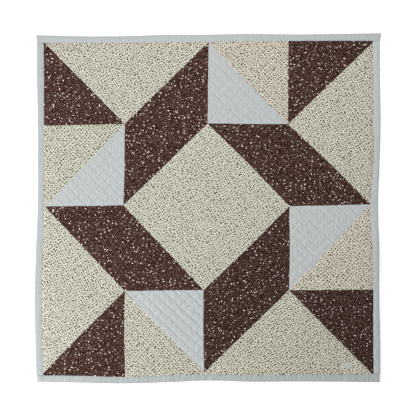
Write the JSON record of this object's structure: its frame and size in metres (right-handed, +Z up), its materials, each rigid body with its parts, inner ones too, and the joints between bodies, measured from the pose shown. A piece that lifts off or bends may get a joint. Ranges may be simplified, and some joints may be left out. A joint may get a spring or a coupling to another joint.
{
  "type": "quilted patchwork blanket",
  "caption": "Near-square patchwork blanket lying flat, machine quilted in small padded diamonds, with a plain folded binding all round its edge and a small bare sewn tag.",
  "frame": {"origin": "on the surface that the blanket lies on, under the middle of its outline", "axes": "+Z up through the cloth, +Y towards the head edge, +X towards the right edge with the tag's corner"},
  "size_m": [1.0056, 1.019, 0.006],
  "materials": {
    "pieced_cotton": "pieced cotton patches in cream, dark brown and pale blue-grey, quilted",
    "plain_blue_grey_cotton": "plain woven cotton, matte",
    "tag_ribbon": "fine bare ribbon, slightly smooth"
  },
  "bodies": {
    "root": {"quilt_body": "pieced_cotton", "binding_head": "plain_blue_grey_cotton", "binding_foot": "plain_blue_grey_cotton", "binding_left": "plain_blue_grey_cotton", "binding_right": "plain_blue_grey_cotton", "label": "tag_ribbon"}
  },
  "joints": []
}
